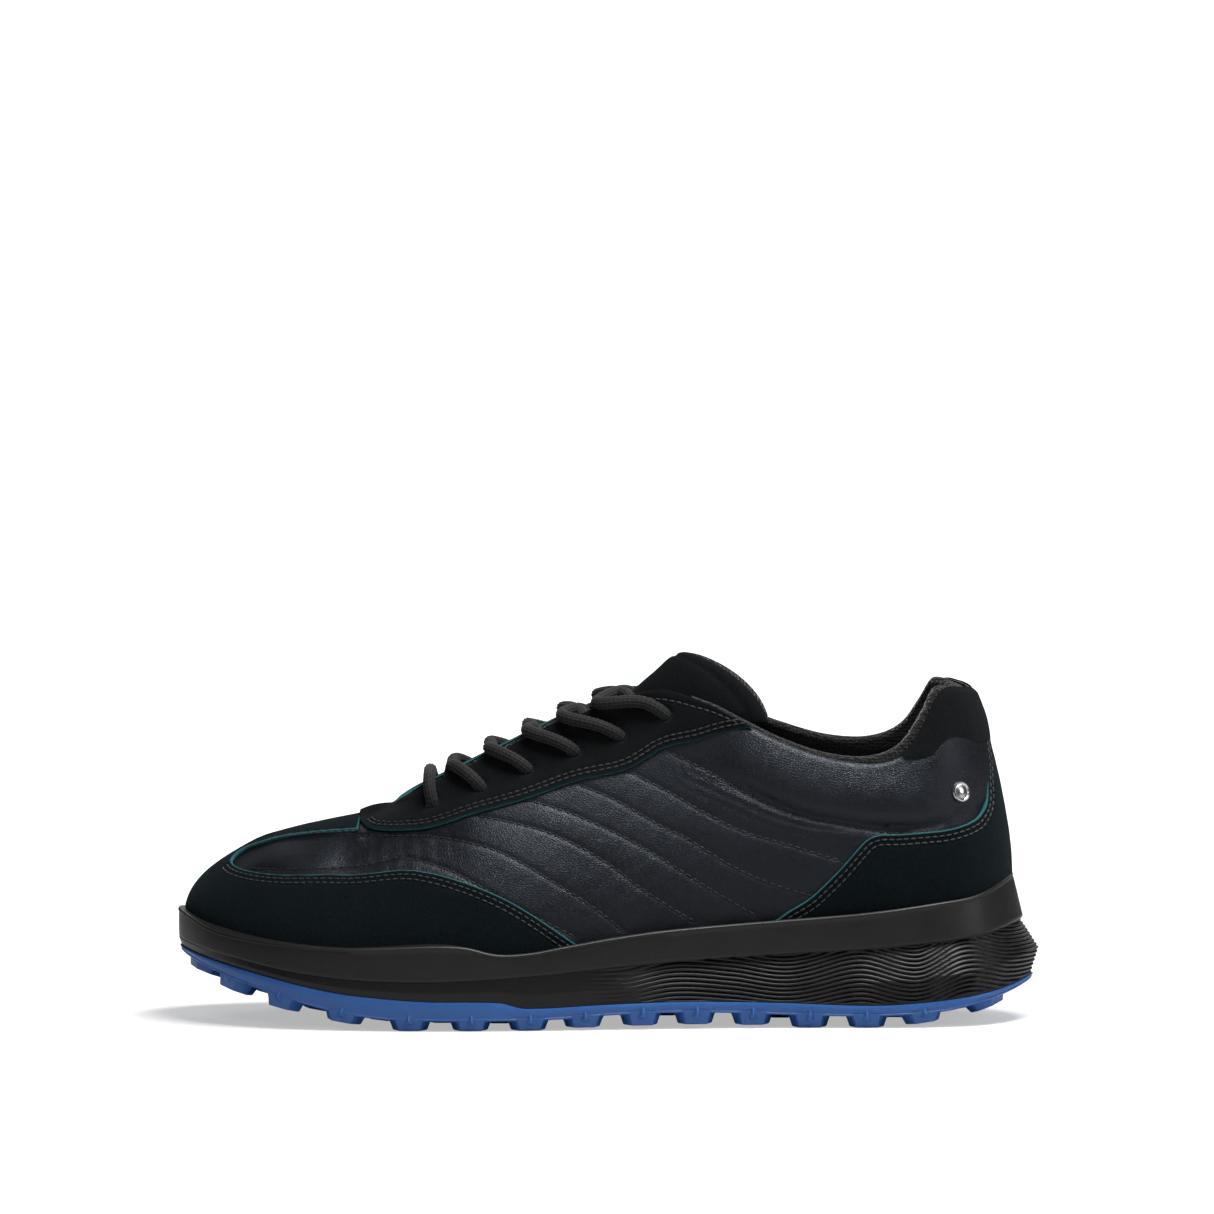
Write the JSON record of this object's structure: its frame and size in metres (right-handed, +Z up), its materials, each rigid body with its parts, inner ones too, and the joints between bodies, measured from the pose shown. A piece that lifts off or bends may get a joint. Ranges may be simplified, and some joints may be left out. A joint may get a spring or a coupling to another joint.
{
  "type": "golf shoe",
  "caption": "Left golf shoe with a lugged one-piece outsole, a moulded midsole, a suede and leather upper, a padded tongue and a crossed lace.",
  "frame": {"origin": "on the ground, under the middle of the shoe's length and width", "axes": "+X towards the heel and -X towards the toe, -Y towards the outer side, +Z up"},
  "size_m": [0.3009, 0.1088, 0.1296],
  "materials": {
    "outsole_blue": "satin blue moulded polyurethane rubber",
    "midsole_black": "satin black moulded foam skin",
    "shank_steel": "plain steel",
    "board_fibre": "pressed fibre",
    "footbed_foam": "open-cell foam",
    "lining_textile": "black knitted textile",
    "smooth_leather": "smooth black leather with a soft sheen",
    "suede_teal_black": "black suede with a dark green-blue nap",
    "nubuck_black": "matt black nubuck",
    "upper_foam": "soft foam",
    "membrane_grey": "laminated waterproof textile",
    "stiffener": "thermoplastic sheet",
    "lace_braid": "round braided lace",
    "lace_tip_plastic": "black film tip",
    "stud_metal": "polished metal"
  },
  "bodies": {
    "shoe": {"outsole": "outsole_blue", "midsole": "midsole_black", "shank": "shank_steel", "lasting_board": "board_fibre", "quarter_outer": "smooth_leather", "quarter_inner": "smooth_leather", "toe_guard": "suede_teal_black", "eyestay": "nubuck_black", "eyestay_backing": "lining_textile", "heel_overlay": "suede_teal_black", "heel_tab": "nubuck_black", "collar_foam": "upper_foam", "collar_lining": "lining_textile", "waterproof_lining": "membrane_grey", "toe_puff": "stiffener", "heel_counter": "stiffener", "lace": "lace_braid", "lace_tips": "lace_tip_plastic", "heel_stud": "stud_metal"},
    "tongue": {"tongue_face": "nubuck_black", "tongue_foam": "upper_foam", "tongue_lining": "lining_textile"},
    "footbed": {"footbed": "footbed_foam", "footbed_cover": "lining_textile"}
  },
  "joints": [
    {"name": "tongue_tip", "type": "hinge", "parent": "shoe", "child": "tongue", "pos_m": [-0.085, 0.0039, 0.062], "axis": [0, 1, 0], "range_deg": [0, 6]},
    {"name": "footbed_lift", "type": "hinge", "parent": "shoe", "child": "footbed", "pos_m": [-0.137, 0.004, 0.0248], "axis": [0, -1, 0], "range_deg": [0, 5]}
  ]
}
